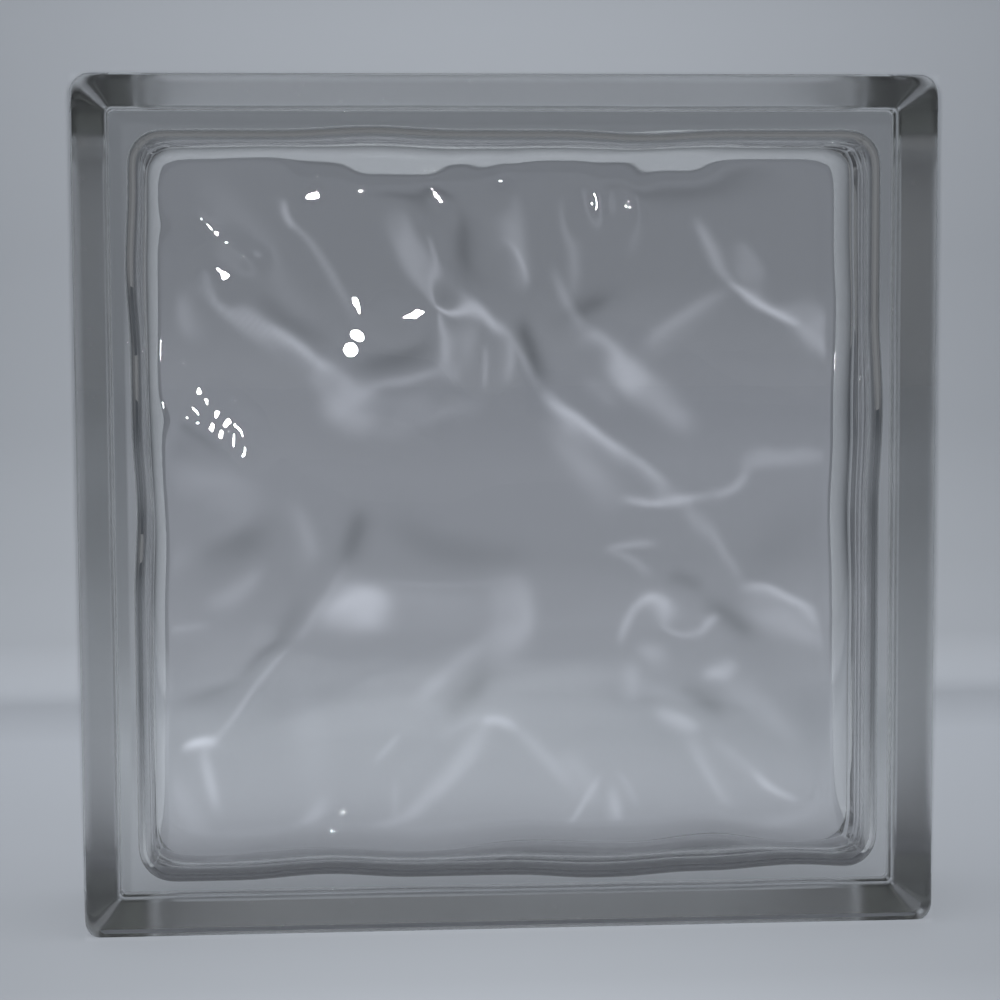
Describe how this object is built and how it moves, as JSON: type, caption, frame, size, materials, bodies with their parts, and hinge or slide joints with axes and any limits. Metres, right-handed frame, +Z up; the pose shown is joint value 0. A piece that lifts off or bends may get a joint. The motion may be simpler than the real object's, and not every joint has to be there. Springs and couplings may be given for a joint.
{
  "type": "glass block",
  "caption": "Square hollow clear glass wall block with flat outer faces, soft waves inside the faces and a mortar recess round its rim.",
  "frame": {"origin": "middle of the lower side, on the floor that the block stands on, at mid-depth", "axes": "+Z up; front face towards -Y, depth along Y; +X to the right when looking at the front face"},
  "size_m": [0.19, 0.05, 0.19],
  "materials": {
    "clear_glass": "clear fire-polished pressed glass, smooth and glossy, with a faint cool tint in the thick rim"
  },
  "bodies": {
    "root": {"front_shell": "clear_glass", "back_shell": "clear_glass"}
  },
  "joints": []
}
